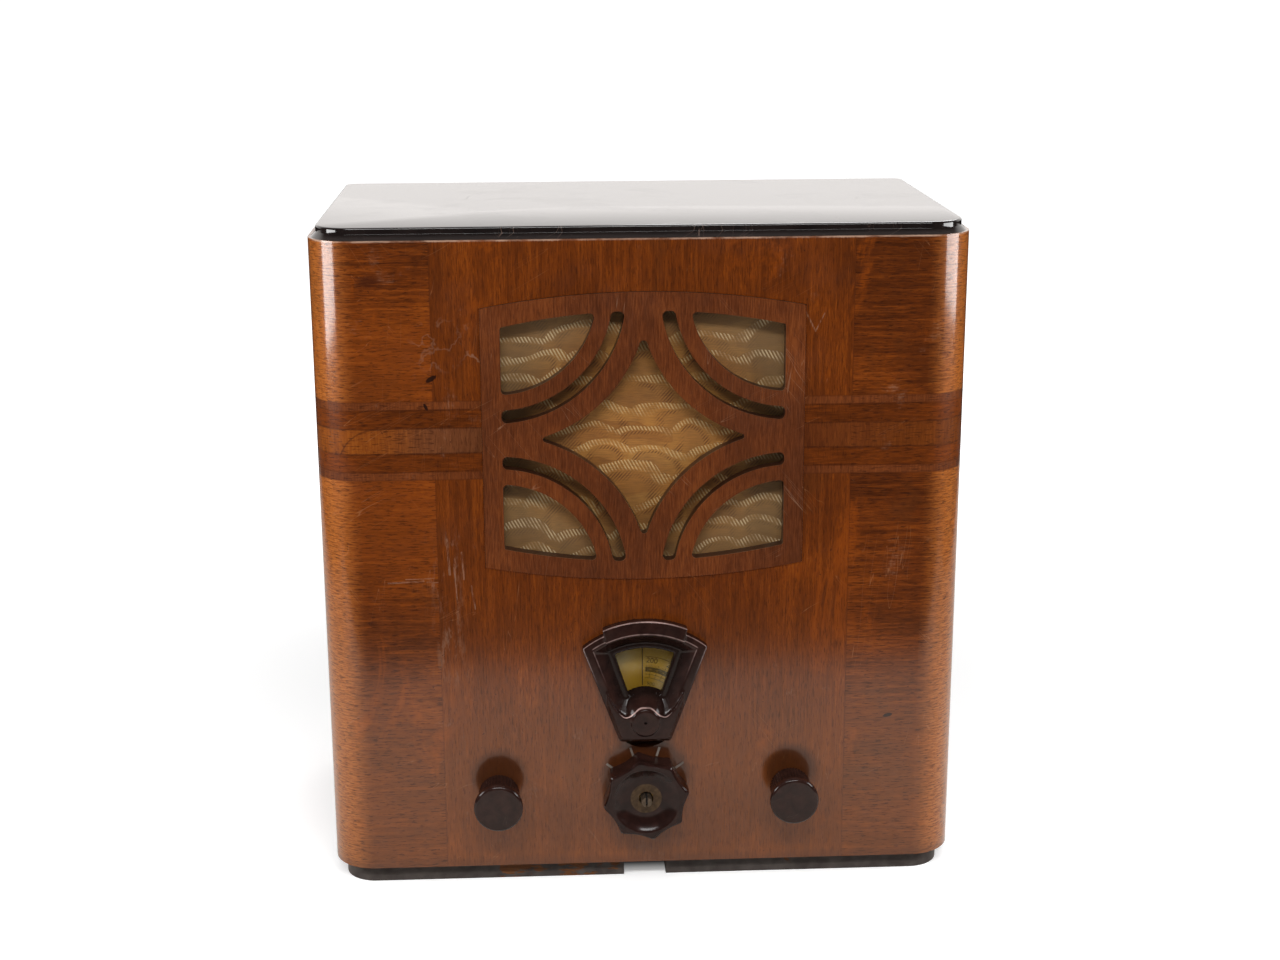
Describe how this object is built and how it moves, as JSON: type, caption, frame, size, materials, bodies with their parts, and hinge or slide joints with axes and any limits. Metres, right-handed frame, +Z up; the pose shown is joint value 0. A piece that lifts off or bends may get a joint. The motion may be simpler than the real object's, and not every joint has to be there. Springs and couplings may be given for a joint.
{
  "type": "table radio receiver",
  "caption": "Upright wooden table radio with fretwork speaker grille, fan-shaped dial window, octagonal wave-change knob round a tuning spindle, and two round knobs.",
  "frame": {"origin": "on the floor, under the middle of the whole object's width and depth", "axes": "+Z up, +X to the right as seen from the front, +Y from the front to the back"},
  "size_m": [0.37, 0.2416, 0.3906],
  "materials": {
    "walnut_side": "polished veneer, dark, grain level",
    "walnut_front": "polished veneer, grain upright",
    "fret_wood": "polished plywood fretwork",
    "plain_wood": "bare softwood and plywood",
    "ebonised": "black polish",
    "plinth_black": "black paint, worn",
    "fibreboard": "matt pressed board",
    "cloth": "woven brocade",
    "bakelite": "polished moulding",
    "bakelite_black": "polished moulding",
    "paxolin": "laminated board",
    "celluloid_clear": "clear sheet",
    "celluloid_dial": "printed amber sheet",
    "black_wire": "black wire",
    "steel": "plated steel",
    "painted_iron": "grey enamel",
    "brass": "dull brass",
    "aluminium": "spun can",
    "glass": "blown glass",
    "nickel": "grey electrodes",
    "paper": "pressed black paper",
    "treated_cloth": "treated cloth",
    "copper": "enamelled copper wire on paper",
    "rubber": "black rubber"
  },
  "bodies": {
    "cabinet": {"left_side": "walnut_side", "right_side": "walnut_side", "front_panel": "walnut_front", "top_board": "plain_wood", "top_plate": "ebonised", "base_board": "plain_wood", "plinth_front": "plinth_black", "plinth_rails": "plinth_black", "glue_blocks": "plain_wood", "back_battens": "plain_wood", "back_cover": "fibreboard", "back_screws": "steel", "grille_fret": "fret_wood", "speaker_cloth": "cloth", "speaker_board": "plain_wood", "speaker_basket": "painted_iron", "cone_surround": "treated_cloth", "speaker_spider": "paxolin", "field_magnet": "painted_iron", "output_transformer": "painted_iron", "speaker_bolts": "steel", "escutcheon": "bakelite", "dial_window": "celluloid_clear", "dial_pointer": "black_wire", "switch_marks": "steel", "chassis_deck": "steel", "chassis_walls": "steel", "chassis_bolts": "steel", "mains_transformer": "painted_iron", "rectifier_bulb": "glass", "output_bulb": "glass", "signal_bulbs": "glass", "valve_bases": "bakelite_black", "valve_holders": "paxolin", "valve_electrodes": "nickel", "coil_cans": "aluminium", "smoothing_capacitors": "aluminium", "gang_frame": "steel", "gang_stators": "aluminium", "control_bracket": "steel", "dial_lamp": "glass", "lamp_holder": "brass", "wave_wafer": "paxolin", "control_pots": "bakelite_black", "socket_strip": "paxolin", "socket_tubes": "brass", "mains_gland": "rubber"},
    "volume_control": {"volume_knob": "bakelite", "volume_spindle": "steel"},
    "tone_control": {"tone_knob": "bakelite", "tone_spindle": "steel"},
    "wave_change": {"wave_knob": "bakelite", "wave_sleeve": "steel", "wave_rotor": "paxolin"},
    "dial_and_vanes": {"gang_rotor": "aluminium", "dial_disc": "celluloid_dial", "drive_disc": "steel"},
    "tuning_control": {"tuning_spindle": "steel"},
    "cone_and_coil": {"speaker_cone": "paper", "voice_coil": "copper"}
  },
  "joints": [
    {"name": "volume_turn", "type": "hinge", "parent": "cabinet", "child": "volume_control", "pos_m": [-0.086, -0.09675, 0.0575], "axis": [0, 1, 0], "range_deg": [-150, 150]},
    {"name": "tone_turn", "type": "hinge", "parent": "cabinet", "child": "tone_control", "pos_m": [0.086, -0.09675, 0.0575], "axis": [0, 1, 0], "range_deg": [-150, 150]},
    {"name": "wave_change_turn", "type": "hinge", "parent": "cabinet", "child": "wave_change", "pos_m": [0, -0.09675, 0.057], "axis": [0, 1, 0], "range_deg": [0, 105]},
    {"name": "dial_turn", "type": "hinge", "parent": "cabinet", "child": "dial_and_vanes", "pos_m": [0, -0.09675, 0.1035], "axis": [0, -1, 0], "range_deg": [0, 180]},
    {"name": "tuning_turn", "type": "hinge", "parent": "cabinet", "child": "tuning_control", "pos_m": [0, -0.09675, 0.057], "axis": [0, 1, 0], "range_deg": [0, 1800]},
    {"name": "cone_slide", "type": "slide", "parent": "cabinet", "child": "cone_and_coil", "axis": [0, -1, 0], "range_m": [-0.001, 0.001], "stiffness_N_per_m": 1500}
  ],
  "couplings": [
    {"joint": "tuning_turn", "follows": "dial_turn", "ratio": 10}
  ]
}
